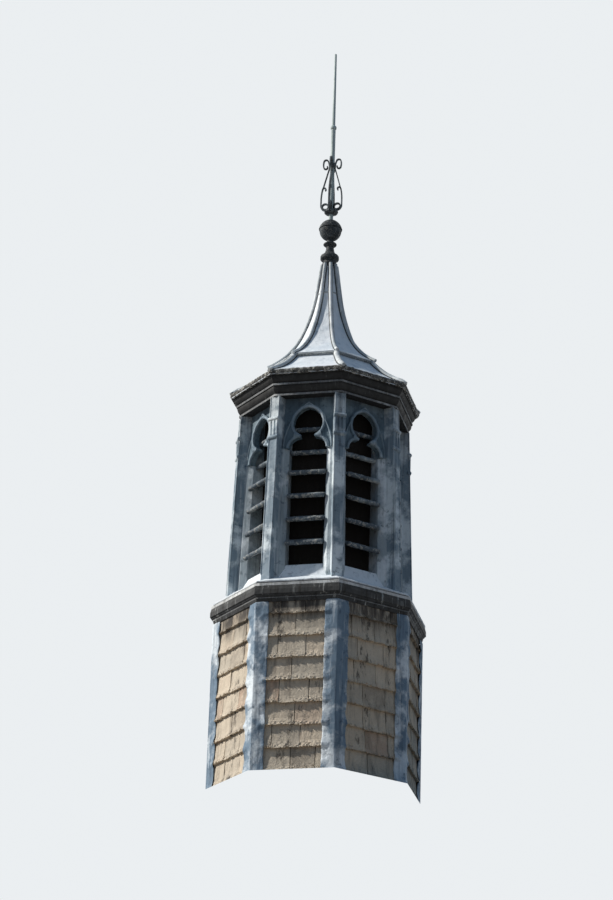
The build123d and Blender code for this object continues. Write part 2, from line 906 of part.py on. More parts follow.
with BuildPart() as finial_scrolls:
    for foot, height, radius, edge_radius in (
        (leaf_knot_foot, leaf_knot_height, leaf_knot_radius, leaf_knot_edge),
        (neck_knot_foot, neck_knot_height, neck_knot_radius, neck_knot_edge + scroll_bar),
    ):
        middle = Plane.XY.offset(foot + height / 2)
        taper = ring_taper(radius, edge_radius, height / 2)
        with BuildSketch(middle):
            RegularPolygon(radius, turned_flats)
        half_knot = extrude(amount=height / 2, taper=taper, mode=Mode.PRIVATE)
        add(half_knot)
        add(mirror(half_knot, about=middle, mode=Mode.PRIVATE))
    with PolarLocations(0, scroll_count):
        add(scroll.part)
    with PolarLocations(0, scroll_count, start_angle=180 / scroll_count):
        add(leaf.part)
    with BuildSketch(Plane.XY.offset(rod_seat)):
        RegularPolygon(rod_radius + scroll_clearance, turned_flats)
    extrude(amount=lower_rod_length - rod_joint_height / 2, mode=Mode.SUBTRACT)
finial_scrolls.part.label = "finial_scrolls"
export_step(finial_scrolls.part, "parts/finial_scrolls.step")
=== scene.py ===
"""Roof cupola: slated drum, louvred lantern with cusped arch heads, lead spire and finial.

Lengths are metres. Most pieces are modelled on the front side, which faces -Y, or on a
corner brought round to +X, and are then turned to the other sides or corners.
"""
import json
import random
from math import asin, atan, atan2, cos, pi, radians, sin, tan

import bmesh
import bpy
from mathutils import Matrix, Vector


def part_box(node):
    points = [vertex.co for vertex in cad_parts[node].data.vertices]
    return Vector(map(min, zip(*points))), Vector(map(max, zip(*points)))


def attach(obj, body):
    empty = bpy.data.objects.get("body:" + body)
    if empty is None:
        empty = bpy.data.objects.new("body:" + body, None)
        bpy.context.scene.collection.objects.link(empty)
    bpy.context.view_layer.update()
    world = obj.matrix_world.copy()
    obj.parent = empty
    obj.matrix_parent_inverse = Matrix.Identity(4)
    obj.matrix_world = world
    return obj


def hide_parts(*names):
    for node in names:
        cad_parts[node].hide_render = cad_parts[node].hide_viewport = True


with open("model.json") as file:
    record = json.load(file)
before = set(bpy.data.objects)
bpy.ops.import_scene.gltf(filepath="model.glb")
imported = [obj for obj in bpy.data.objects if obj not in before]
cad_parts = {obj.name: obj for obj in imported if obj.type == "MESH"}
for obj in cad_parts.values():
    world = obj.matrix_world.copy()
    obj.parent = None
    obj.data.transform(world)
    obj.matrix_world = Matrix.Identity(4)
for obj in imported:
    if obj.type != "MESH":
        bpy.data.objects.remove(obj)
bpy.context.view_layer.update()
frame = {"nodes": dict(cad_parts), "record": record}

nodes = frame["nodes"]

# the eight sides, anticlockwise from the front
side_names = (
    "front", "front_right", "right", "back_right", "back", "back_left", "left", "front_left"
)
side_count = len(side_names)
side_turn = 2 * pi / side_count
half_turn = side_turn / 2
across = cos(half_turn)


# heights and distances that the frame gives
def top_of(node):
    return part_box(node)[1].z


def foot_of(node):
    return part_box(node)[0].z


def face_of(node):
    """Distance from the axis to the front face of a node."""
    return -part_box(node)[0].y


deck_top = top_of("drum_cornice")
sill_height = top_of("lantern_apron")
springing = foot_of("arch_head_front")
lantern_top = top_of("arch_head_front")
cornice_top = top_of("eaves_cornice")
spire_top = top_of("roof_spire")
cladding_top = top_of("drum_corner_leads")
slate_face = face_of("drum_wall_front")
lead_face = face_of("drum_corner_leads")
drip_edge_face = face_of("roof_skirt")
drip_edge_foot = foot_of("roof_skirt")
lining_face = face_of("inner_lining")

# the lantern's wall leans in as it rises
wall_foot_radius = 0.822
wall_top_radius = 0.758
post_width = 0.096
post_projection = 0.066
wall_lean = (wall_foot_radius - wall_top_radius) * across / (lantern_top - deck_top)
opening_half = 0.1807


def wall_radius(height):
    """Distance from the axis to a corner of the wall."""
    share = (height - deck_top) / (lantern_top - deck_top)
    return wall_foot_radius + (wall_top_radius - wall_foot_radius) * share


def wall_plane(height):
    """Distance from the axis to a face of the wall."""
    return wall_radius(height) * across


# modelling by hand: choosing, shaping and copying
def only(piece):
    """Makes one piece the chosen and active one."""
    bpy.ops.object.select_all(action="DESELECT")
    piece.select_set(True)
    bpy.context.view_layer.objects.active = piece
    return piece


def lay_in():
    """Lays the place, turn and scale of what is chosen into its mesh."""
    bpy.ops.object.transform_apply(location=True, rotation=True, scale=True)


def rename(piece, name):
    piece.name = name
    piece.data.name = name
    return piece


def named(name):
    """Names the primitive just added and lays its place into its mesh."""
    lay_in()
    return rename(bpy.context.object, name)


def choose_all():
    bpy.ops.mesh.select_all(action="SELECT")


def edit():
    bpy.ops.object.mode_set(mode="EDIT")
    bpy.ops.mesh.select_mode(type="VERT")
    choose_all()


def done():
    bpy.ops.object.mode_set(mode="OBJECT")


def choose(kind, test):
    """In edit mode, picks the points, edges or faces whose middle passes the test."""
    piece = bpy.context.object
    bpy.ops.mesh.select_mode(type=kind)
    bpy.ops.mesh.select_all(action="DESELECT")
    mesh = bmesh.from_edit_mesh(piece.data)
    if kind == "VERT":
        found = [point for point in mesh.verts if test(point.co)]
    elif kind == "EDGE":
        found = [edge for edge in mesh.edges if test((edge.verts[0].co + edge.verts[1].co) / 2)]
    else:
        found = [face for face in mesh.faces if test(face.calc_center_median())]
    for element in found:
        element.select_set(True)
    bmesh.update_edit_mesh(piece.data)
    return len(found)


def draw_out(x, y, z):
    bpy.ops.mesh.extrude_region_move(TRANSFORM_OT_translate={"value": (x, y, z)})


def spread(x, y, z, middle=(0, 0, 0)):
    bpy.ops.transform.resize(value=(x, y, z), center_override=middle)


def face_outwards():
    choose_all()
    bpy.ops.mesh.normals_make_consistent(inside=False)


def close_up():
    """Merges what meets and turns all faces outwards."""
    choose_all()
    bpy.ops.mesh.remove_doubles(threshold=0.00002)
    face_outwards()


def work(piece, kind, **settings):
    """Adds a modifier and applies it."""
    only(piece)
    modifier = piece.modifiers.new(kind.lower(), kind)
    for key, value in settings.items():
        setattr(modifier, key, value)
    bpy.ops.object.modifier_apply(modifier=modifier.name)
    return piece


def lumps(piece, size, depth, group=""):
    """Makes a surface uneven: clouds of a size, as far out as in."""
    texture = bpy.data.textures.new(f"{piece.name}_lumps", "CLOUDS")
    texture.noise_scale = size
    texture.noise_depth = 2
    work(
        piece, "DISPLACE", texture=texture, strength=depth, mid_level=0.5,
        texture_coords="LOCAL", vertex_group=group,
    )
    return piece


def soften(piece, angle=35):
    only(piece)
    bpy.ops.object.shade_smooth_by_angle(angle=radians(angle))
    return piece


def copy_of(piece, name):
    only(piece)
    bpy.ops.object.duplicate()
    return rename(bpy.context.object, name)


def joined(pieces, name):
    only(pieces[0])
    for piece in pieces:
        piece.select_set(True)
    lay_in()
    if len(pieces) > 1:
        bpy.ops.object.join()
    return rename(bpy.context.object, name)


def turned_round(piece, first=0.0, count=side_count):
    """Copies of a piece turned about the axis, the piece itself being the first."""
    turns = [piece] + [copy_of(piece, f"{piece.name}_{number}") for number in range(1, count)]
    for number, turn in enumerate(turns):
        turn.rotation_euler.z = first + number * 2 * pi / count
    return turns


def all_round(piece, first=0.0, count=side_count):
    return joined(turned_round(piece, first, count), piece.name)


def on_each_side(piece, name):
    """The piece, modelled on the front, as a piece of its own on each side."""
    sides = turned_round(piece)
    for side, side_name in zip(sides, side_names):
        only(rename(side, f"{name}_{side_name}"))
        lay_in()
    return sides


def eight_sided(name, profile, cuts=0):
    """A ring of eight flat sides, for a profile of (distance of the face, height)."""
    face, height = profile[0]
    bpy.ops.mesh.primitive_circle_add(
        vertices=side_count, radius=face / across, location=(0, 0, height),
        rotation=(0, 0, half_turn),
    )
    piece = named(name)
    edit()
    if cuts:
        bpy.ops.mesh.subdivide(number_cuts=cuts)
    for next_face, next_height in profile[1:]:
        draw_out(0, 0, next_height - height)
        spread(next_face / face, next_face / face, 1)
        face, height = next_face, next_height
    close_up()
    done()
    return piece


def line_of_points(name, points):
    """A chain of edges through points, drawn out from a plane merged to its middle."""
    bpy.ops.mesh.primitive_plane_add(size=0.001, location=points[0])
    piece = named(name)
    edit()
    bpy.ops.mesh.merge(type="CENTER")
    for start, end in zip(points, points[1:]):
        step = Vector(end) - Vector(start)
        bpy.ops.mesh.extrude_vertices_move(TRANSFORM_OT_translate={"value": step})
    done()
    return piece


def lathed(name, profile, steps=40):
    """A turned piece, for a profile of (radius, height)."""
    piece = line_of_points(name, [(radius, 0, height) for radius, height in profile])
    edit()
    bpy.ops.mesh.spin(steps=steps, angle=2 * pi, center=(0, 0, 0), axis=(0, 0, 1))
    close_up()
    done()
    return soften(piece)


def swept(name, start, heading, section, moves, sides=12):
    """A bar drawn in the XZ plane: a section (in the plane, across it), then runs and bends.

    A move is a length to run on, or the middle of a bend, its turn and its steps.
    """
    place = (start[0], 0, start[1])
    turn = (0, pi / 2 - heading, 0)
    if sides == 4:
        bpy.ops.mesh.primitive_plane_add(size=1, location=place, rotation=turn)
    else:
        bpy.ops.mesh.primitive_circle_add(
            vertices=sides, radius=0.5, fill_type="NGON", location=place, rotation=turn
        )
    bpy.context.object.scale = (section[0], section[1], 1)
    piece = named(name)
    edit()
    for move in moves:
        if isinstance(move, float):
            draw_out(move * cos(heading), 0, move * sin(heading))
        else:
            middle, bend, steps = move
            bpy.ops.mesh.spin(
                steps=steps, angle=bend, center=(middle[0], 0, middle[1]), axis=(0, 1, 0)
            )
            heading += bend
    close_up()
    done()
    return piece


def toward(heading):
    """A unit step along a heading in the drawing's plane."""
    return Vector((cos(heading), sin(heading)))


def tangent_bend(start, heading, end, steps):
    """The bend that leaves start along a heading and ends at end."""
    chord = Vector(end) - Vector(start)
    left = toward(heading + pi / 2)
    radius = chord.length_squared / (2 * chord.dot(left))
    middle = Vector(start) + left * radius
    return middle, 2 * (atan2(chord.y, chord.x) - heading), steps


def bend_points(start, bend):
    """The points of a bend, its start left out."""
    middle, turn, steps = bend
    arm = Vector(start) - middle
    return [
        tuple(middle + Matrix.Rotation(turn * step / steps, 2) @ arm)
        for step in range(1, steps + 1)
    ]


def heading_of(start, end, hollow=0.0):
    """Heading from start to end, or of the arc between them that bulges by hollow."""
    chord = Vector(end) - Vector(start)
    return atan2(chord.y, chord.x) - 2 * atan(2 * hollow / chord.length)


# finishes
dull_gloss = 0.18
# dark colour for soot together with painted shade under the eaves
soot_and_shade_colour = (0.014, 0.0135, 0.013)
lichen_colour = (0.66, 0.64, 0.56)


def make(tree, kind, inputs=None, **settings):
    """Adds a shader node; an input is a value or the output that feeds it."""
    node = tree.nodes.new("ShaderNode" + kind)
    for key, value in settings.items():
        setattr(node, key, value)
    for key, value in (inputs or {}).items():
        if isinstance(value, bpy.types.NodeSocket):
            tree.links.new(value, node.inputs[key])
        else:
            node.inputs[key].default_value = value
    return node


def clouds(tree, scale, stretch=(1, 1, 1), detail=5.0, rough=0.55, shift=0.0):
    """Noise on the piece's own place; a small stretch along Z draws it out into streaks."""
    place = make(tree, "TexCoord").outputs["Object"]
    mapped = make(tree, "Mapping", {"Vector": place, "Scale": stretch, "Location": (shift,) * 3})
    noise = make(
        tree, "TexNoise",
        {"Vector": mapped.outputs["Vector"], "Scale": scale, "Detail": detail,
         "Roughness": rough},
    )
    return noise.outputs["Fac"]


def between(tree, value, low, high, foot=0.0, head=1.0):
    """Foot at low, head at high and smooth between."""
    return make(
        tree, "MapRange",
        {"Value": value, "From Min": low, "From Max": high, "To Min": foot, "To Max": head},
        interpolation_type="SMOOTHSTEP",
    ).outputs["Result"]


def times(tree, first, second):
    return make(tree, "Math", {0: first, 1: second}, operation="MULTIPLY").outputs[0]


def colour(value):
    return value if isinstance(value, bpy.types.NodeSocket) else (*value, 1.0)


def blend(tree, share, first, second):
    inputs = {0: share, 6: colour(first), 7: colour(second)}
    return make(tree, "Mix", inputs, data_type="RGBA").outputs[2]


def tinted(tree, base, pattern, low, high, strength, tint):
    """Lays a tint over the base where a pattern rises from low to high."""
    return blend(tree, between(tree, pattern, low, high, 0.0, strength), base, tint)


def height_of(tree):
    place = make(tree, "TexCoord").outputs["Object"]
    return make(tree, "SeparateXYZ", {"Vector": place}).outputs["Z"]


def new_finish(name):
    material = bpy.data.materials.new(name)
    material.use_nodes = True
    tree = material.node_tree
    tree.nodes.clear()
    return material, tree


def surface(tree, base, roughness, relief, depth):
    """A dull surface whose relief is as deep as a pattern times depth."""
    bump = make(tree, "Bump", {"Height": relief, "Distance": depth, "Strength": 1.0})
    shader = make(
        tree, "BsdfPrincipled",
        {"Base Color": base, "Roughness": roughness, "Normal": bump.outputs["Normal"],
         "Specular IOR Level": dull_gloss},
    )
    make(tree, "OutputMaterial", {"Surface": shader.outputs["BSDF"]})


def lead_finish(
    name, body, bloom, stain, bloom_share, streaks, lichen=0.0, soot_and_shade=None, crust_scale=60.0
):
    """Weathered lead: patches of bloom, streaks down the fall, stains and lichen.

    soot_and_shade gives the height where the darkening is thickest, then the one where it has gone:
    soot together with painted shade under the eaves.
    """
    material, tree = new_finish(name)
    patches = clouds(tree, 3.1, detail=8, rough=0.62)
    edge = 0.62 - 0.3 * bloom_share
    base = tinted(tree, body, patches, edge, edge + 0.16, 1.0, bloom)
    runs = clouds(tree, 24.0, stretch=(1, 1, 0.045), detail=7, rough=0.6, shift=3.0)
    base = tinted(tree, base, runs, 0.5, 0.68, streaks, stain)
    pale_runs = clouds(tree, 31.0, stretch=(1, 1, 0.05), detail=6, rough=0.6, shift=9.0)
    base = tinted(tree, base, pale_runs, 0.56, 0.72, streaks, bloom)
    spots = clouds(tree, 14.0, detail=9, rough=0.7, shift=5.0)
    base = tinted(tree, base, spots, 0.56, 0.66, 0.55, stain)
    # darker toward the top: soot together with painted shade under the eaves
    if soot_and_shade:
        amount = between(tree, height_of(tree), soot_and_shade[1], soot_and_shade[0])
        ragged = times(tree, amount, between(tree, runs, 0.3, 0.6, 0.75, 1.0))
        base = blend(tree, ragged, base, soot_and_shade_colour)
    if lichen:
        crust = clouds(tree, crust_scale, detail=4, rough=0.75, shift=1.0)
        base = tinted(tree, base, crust, 0.53, 0.59, lichen, lichen_colour)
    hammered = clouds(tree, 9.0, detail=10, rough=0.68)
    roughness = between(tree, spots, 0.3, 0.7, 0.5, 0.8)
    surface(tree, base, roughness, hammered, 0.012)
    return material


def shuffled(tree, tone, factor):
    """Another random value for each slate, from the one it has."""
    return make(tree, "Math", {0: times(tree, tone, factor)}, operation="FRACT").outputs[0]


def slate_finish(name):
    """Riven slates: buff and grey-brown from slate to slate, weep stains, dark specks."""
    material, tree = new_finish(name)
    tone = make(tree, "NewGeometry").outputs["Random Per Island"]
    base = blend(tree, tone, (0.62, 0.52, 0.40), (0.46, 0.41, 0.335))
    warm, dark = shuffled(tree, tone, 7.31), shuffled(tree, tone, 13.7)
    base = tinted(tree, base, warm, 0.88, 0.95, 0.7, (0.47, 0.33, 0.24))
    base = tinted(tree, base, dark, 0.70, 0.80, 0.6, (0.28, 0.24, 0.195))
    mottle = clouds(tree, 9.0, detail=9, rough=0.7)
    base = tinted(tree, base, mottle, 0.42, 0.72, 0.65, (0.68, 0.60, 0.48))
    grime = clouds(tree, 15.0, stretch=(1, 1, 0.12), detail=8, rough=0.68, shift=4.0)
    base = tinted(tree, base, grime, 0.5, 0.72, 0.7, (0.17, 0.145, 0.12))
    weeps = clouds(tree, 5.0, stretch=(1, 1, 0.3), detail=10, rough=0.78, shift=11.0)
    base = tinted(tree, base, weeps, 0.55, 0.63, 0.85, (0.04, 0.036, 0.033))
    # darker toward the top of the drum: soot together with painted shade under the drum cornice
    soot_and_shade = between(tree, height_of(tree), 1.30, 1.58)
    soot_and_shade = times(tree, soot_and_shade, between(tree, grime, 0.36, 0.58, 0.25, 0.95))
    base = blend(tree, soot_and_shade, base, (0.045, 0.04, 0.037))
    specks = clouds(tree, 90.0, detail=5, rough=0.7, shift=7.0)
    base = tinted(tree, base, specks, 0.6, 0.66, 0.6, (0.10, 0.08, 0.06))
    riven = clouds(tree, 26.0, detail=11, rough=0.72, shift=2.0)
    surface(tree, base, between(tree, mottle, 0.3, 0.7, 0.72, 0.92), riven, 0.012)
    return material


def painted_shade_boards(name):
    """Boards nearly black with a faint grain: painted shade inside the lantern and behind the
    slates.
    """
    material, tree = new_finish(name)
    grain = clouds(tree, 30.0, stretch=(1, 1, 0.06), detail=8, rough=0.7)
    base = blend(tree, grain, (0.003, 0.003, 0.003), (0.014, 0.011, 0.009))
    surface(tree, base, between(tree, grain, 0.2, 0.8, 0.8, 0.95), grain, 0.006)
    return material


def iron_finish(name, paint, worn, rust):
    """Painted iron, worn thin in runs, with rust in spots."""
    material, tree = new_finish(name)
    runs = clouds(tree, 40.0, stretch=(1, 1, 0.06), detail=6)
    base = tinted(tree, paint, runs, 0.42, 0.66, 1.0, worn)
    spots = clouds(tree, 45.0, detail=8, rough=0.7, shift=6.0)
    base = tinted(tree, base, spots, 0.58, 0.68, 0.8, rust)
    surface(tree, base, between(tree, spots, 0.3, 0.7, 0.42, 0.7), spots, 0.004)
    return material


# each lead finish has a body, a bloom and a stain colour, then how it has weathered, and where soot
# with painted shade darkens it
finishes = {
    "slate_cladding": slate_finish("riven_slate"),
    # near-black: painted shade behind the slates and inside the lantern
    "underlay": painted_shade_boards("underlay_painted_shade"),
    "lining_boards": painted_shade_boards("lining_painted_shade"),
    "corner_lead": lead_finish(
        "dressed_lead", (0.15, 0.215, 0.285), (0.70, 0.76, 0.80), (0.03, 0.05, 0.08),
        bloom_share=0.6, streaks=0.5,
    ),
    # the eaves cornice is darkened throughout: soot together with painted shade under the roof
    "cornice_lead": lead_finish(
        "moulding_lead", (0.035, 0.036, 0.037), (0.34, 0.35, 0.34), (0.012, 0.011, 0.01),
        bloom_share=0.0, streaks=1.0, soot_and_shade=(3.74, 3.0),
    ),
    "fillet_lead": lead_finish(
        "fillet_lead", (0.13, 0.135, 0.14), (0.40, 0.41, 0.41), (0.03, 0.03, 0.03),
        bloom_share=0.4, streaks=0.4, lichen=0.15,
    ),
    # pale crown bead: lichen crust together with a painted highlight along the cornice top
    "crown_lead_painted_highlight": lead_finish(
        "crown_lead_painted_highlight", (0.50, 0.51, 0.51), (0.74, 0.76, 0.76), (0.08, 0.08, 0.08),
        bloom_share=0.6, streaks=0.6, lichen=0.3, crust_scale=30.0,
    ),
    # the upper posts darken toward the eaves: soot together with painted shade
    "post_lead": lead_finish(
        "post_lead", (0.20, 0.26, 0.31), (0.70, 0.77, 0.80), (0.04, 0.055, 0.075),
        bloom_share=0.6, streaks=0.5, soot_and_shade=(4.3, 3.25),
    ),
    "jamb_lead": lead_finish(
        "jamb_lead", (0.32, 0.375, 0.41), (0.68, 0.73, 0.76), (0.06, 0.08, 0.095),
        bloom_share=0.5, streaks=0.45,
    ),
    # the heads darken toward the eaves: soot together with painted shade
    "head_lead": lead_finish(
        "head_lead", (0.09, 0.135, 0.17), (0.23, 0.30, 0.34), (0.03, 0.042, 0.055),
        bloom_share=0.5, streaks=0.3, soot_and_shade=(4.1, 3.45),
    ),
    "band_lead": lead_finish(
        "band_lead", (0.17, 0.225, 0.27), (0.40, 0.47, 0.52), (0.05, 0.065, 0.08),
        bloom_share=0.5, streaks=0.25,
    ),
    "louvre_lead": lead_finish(
        "louvre_lead", (0.075, 0.095, 0.115), (0.26, 0.31, 0.34), (0.02, 0.02, 0.02),
        bloom_share=0.4, streaks=0.3, lichen=0.4, crust_scale=30.0,
    ),
    "apron_lead": lead_finish(
        "apron_lead", (0.60, 0.66, 0.71), (0.78, 0.82, 0.85), (0.26, 0.29, 0.32),
        bloom_share=0.9, streaks=0.25,
    ),
    "roof_lead": lead_finish(
        "roof_lead", (0.64, 0.70, 0.75), (0.77, 0.81, 0.84), (0.32, 0.36, 0.40),
        bloom_share=0.8, streaks=0.28,
    ),
    "edge_lead": lead_finish(
        "edge_lead", (0.04, 0.039, 0.037), (0.22, 0.22, 0.21), (0.012, 0.012, 0.012),
        bloom_share=0.35, streaks=0.4, lichen=0.5, crust_scale=38.0,
    ),
    # dark strips beside the rolls: dirt together with painted shade in the undercut
    "undercut_dirt_and_shade": lead_finish(
        "undercut_dirt_and_shade", (0.05, 0.055, 0.06), (0.16, 0.17, 0.17), (0.02, 0.02, 0.02),
        bloom_share=0.3, streaks=0.3,
    ),
    "seam_lead": lead_finish(
        "seam_lead", (0.20, 0.22, 0.23), (0.42, 0.45, 0.46), (0.05, 0.05, 0.05),
        bloom_share=0.5, streaks=0.3, lichen=0.5,
    ),
    "roll_lead": lead_finish(
        "roll_lead", (0.42, 0.46, 0.48), (0.68, 0.71, 0.72), (0.13, 0.125, 0.115),
        bloom_share=0.6, streaks=0.2, lichen=0.35,
    ),
    "finial_lead": lead_finish(
        "finial_lead", (0.014, 0.019, 0.024), (0.06, 0.073, 0.083), (0.008, 0.008, 0.008),
        bloom_share=0.35, streaks=0.3, lichen=0.15,
    ),
    "rod_iron": iron_finish(
        "rod_paint", (0.33, 0.39, 0.38), (0.50, 0.57, 0.55), (0.16, 0.14, 0.11)
    ),
    "scroll_iron": iron_finish(
        "scroll_iron", (0.035, 0.04, 0.045), (0.16, 0.19, 0.20), (0.07, 0.045, 0.03)
    ),
}


def placed(piece, slot, *stood_for, finish=None):
    """Gives a finished piece its finish and its body, and hides the nodes it stands for."""
    only(piece)
    lay_in()
    piece.data.materials.append(finishes[finish or slot])
    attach(piece, "root")
    if stood_for:
        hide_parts(*stood_for)
    return piece


def finish_nodes():
    """The record says which slot each node takes its finish from; under slates it is the near-black
    boards, painted shade in the gaps.
    """
    for subpart in frame["record"]["subparts"]:
        node = nodes[subpart["node"]]
        slot = subpart["material_slot"]
        node.data.materials.clear()
        node.data.materials.append(finishes["underlay" if slot == "slate_cladding" else slot])


# slates on the drum
slate_exposure = 0.2125
slate_lap = 0.060
slate_thickness = 0.012
slate_tail_face = slate_face + 0.017
slate_joint = 0.006
slate_width = 0.25
narrowest_slate = 0.06
slate_ways = 6
slate_height = slate_exposure + slate_lap
slate_lean = atan(slate_thickness / slate_exposure)
slate_courses = int(cladding_top / slate_exposure) + 1
tail_band = 0.070
lead_lap = 0.028


def slate_pattern(number):
    """One riven slate of unit width, standing on its thick chipped tail in front of the axis."""
    bpy.ops.mesh.primitive_grid_add(
        x_subdivisions=26, y_subdivisions=8, size=1,
        location=(0, 0, tail_band / 2), rotation=(pi / 2, 0, 0),
    )
    bpy.context.object.scale = (1, tail_band, 1)
    slate = named(f"slate_{number}")
    edit()
    choose("EDGE", lambda middle: middle.z > tail_band - 0.001)
    rows = 5
    for _ in range(rows):
        draw_out(0, 0, (slate_height - tail_band) / rows)
    done()
    work(slate, "SOLIDIFY", thickness=slate_thickness, offset=-1)
    edit()
    for reach, swell in ((0.002, 0.004), (0.020, 0.004), (0.040, 0.004), (0.056, 0.003)):
        choose("VERT", lambda point: point.z < reach and point.y < slate_thickness / 2)
        bpy.ops.transform.translate(value=(0, -swell, 0))
    for reach, offset in ((0.002, 0.008), (0.032, 0.005)):
        choose("VERT", lambda point: point.z < reach)
        bpy.ops.transform.vertex_random(offset=offset, seed=number + 1)
    choose("VERT", lambda point: abs(point.x) > 0.49)
    bpy.ops.transform.vertex_random(offset=0.004, seed=number + 20)
    done()
    tail = slate.vertex_groups.new(name="tail")
    for point in slate.data.vertices:
        share = max(0.0, min(1.0, 1.25 - point.co.z / tail_band))
        tail.add([point.index], share, "REPLACE")
    return slate


def stood_on_foot(piece):
    """Flattens what hangs below the foot onto it."""
    only(piece)
    edit()
    if choose("VERT", lambda point: point.z < 0.0):
        spread(1, 1, 0)
    face_outwards()
    done()
    return piece


def lay_slate(pattern, chance, left, right, tail, head):
    """Fits a copy of a slate between two joints, a little out of true."""
    slate = copy_of(pattern, "laid_slate")
    slate.scale = (
        (right - left - slate_joint) * chance.choice((1, -1)), 1, (head - tail) / slate_height
    )
    slate.rotation_euler = (
        -slate_lean + chance.uniform(-0.008, 0.008), chance.uniform(-0.012, 0.012), 0
    )
    slate.location = (
        (left + right) / 2,
        -slate_tail_face + chance.uniform(-0.003, 0.003),
        tail + chance.uniform(-0.005, 0.006),
    )
    return slate


def slates():
    """Courses of slates on each side, with the joints staggered."""
    patterns = [slate_pattern(number) for number in range(slate_ways)]
    chance = random.Random(7)
    half_width = lead_face * tan(half_turn) - corner_lead_width + lead_lap
    for side, side_name in enumerate(side_names):
        laid = []
        for course in range(slate_courses):
            tail = course * slate_exposure
            head = min(tail + slate_height, cladding_top + 0.012)
            start = chance.uniform(-0.07, 0.07) + (slate_width / 2 if course % 2 else 0.0)
            inner = [
                start + chance.uniform(-0.02, 0.02) + slate_width * step for step in (-1, 0, 1)
            ]
            joints = [x for x in inner if abs(x) < half_width - narrowest_slate]
            joints = [-half_width] + joints + [half_width]
            for left, right in zip(joints, joints[1:]):
                pattern = chance.choice(patterns)
                laid.append(lay_slate(pattern, chance, left, right, tail, head))
        piece = joined(laid, f"slates_{side_name}")
        piece.rotation_euler.z = side * side_turn
        only(piece)
        lay_in()
        stood_on_foot(piece)
        lumps(piece, 0.013, 0.016, "tail")
        lumps(piece, 0.06, 0.005)
        placed(soften(stood_on_foot(piece), 30), "slate_cladding")
    for pattern in patterns:
        bpy.data.objects.remove(pattern)


# lead dressed over the corners of the drum
corner_lead_width = 0.120
corner_lead_thickness = 0.005
corner_lead_columns = 6
corner_lead_rows = 11
arris_steps = [0.0, 0.003, 0.008]
# over each tail: from and to what height, how far the leaf lifts and how far it reaches
corner_lead_dressing = (
    (-0.012, 0.022, 0.008, 0.002),
    (-0.004, 0.045, 0.004, 0.001),
    (0.070, 0.150, -0.003, -0.001),
    (0.095, 0.195, -0.004, -0.001),
)


def dress_leaf(arris, along, out, chance):
    """Works a leaf over the tail of each course, harder toward its edge."""
    for course in range(slate_courses):
        tail = course * slate_exposure
        for low, high, lift, reach in corner_lead_dressing:
            reach += chance.uniform(-0.0025, 0.0025)
            lift += chance.uniform(-0.003, 0.003)
            for share, part_of_it in ((0.45, 0.3), (0.7, 0.35), (0.92, 0.35)):
                choose(
                    "VERT",
                    lambda point: tail + low <= point.z <= tail + high
                    and (point - arris).dot(along) > corner_lead_width * share - 0.006,
                )
                bpy.ops.transform.translate(value=(out * lift + along * reach) * part_of_it)


def corner_leads():
    """Two leaves folded at the corner, dressed down over each course of slates."""
    arris = Vector((lead_face / across, 0, 0))
    leaves = []
    for side in (1, -1):
        along = Vector((-sin(half_turn), side * cos(half_turn), 0))
        leaves.append((along, Vector((cos(half_turn), side * sin(half_turn), 0))))
    first = arris_steps[-1]
    steps = arris_steps + [
        first + (corner_lead_width - first) * step / corner_lead_columns
        for step in range(1, corner_lead_columns + 1)
    ]
    section = [arris + leaves[1][0] * step for step in reversed(steps)]
    section += [arris + leaves[0][0] * step for step in steps[1:]]
    lead = line_of_points("dressed_corner_leads", section)
    edit()
    rows = round(cladding_top / slate_exposure * corner_lead_rows)
    for _ in range(rows):
        draw_out(0, 0, cladding_top / rows)
    chance = random.Random(11)
    for along, out in leaves:
        dress_leaf(arris, along, out, chance)
    choose_all()
    bpy.ops.transform.vertex_random(offset=0.001, seed=4)
    face_outwards()
    done()
    leaf = lead.vertex_groups.new(name="leaf")
    for point in lead.data.vertices:
        leaf.add([point.index], max(0.0, min(1.0, (abs(point.co.y) - 0.012) / 0.04)), "REPLACE")
    work(lead, "SOLIDIFY", thickness=corner_lead_thickness, offset=1)
    work(lead, "SUBSURF", levels=1, render_levels=1)
    lead = all_round(lead, half_turn)
    lumps(lead, 0.07, 0.0065, "leaf")
    lumps(lead, 0.025, 0.003, "leaf")
    placed(soften(stood_on_foot(lead), 50), "corner_lead", "drum_corner_leads")


# louvres
blade_count = 6
blade_first_rise = 0.205
blade_last_rise = 0.222
blade_slope = radians(28)
blade_thickness = 0.020
nose_radius = 0.023
nose_set_back = 0.012
nose_cuts = 24
head_depth = 0.062
blade_half = opening_half - 0.002


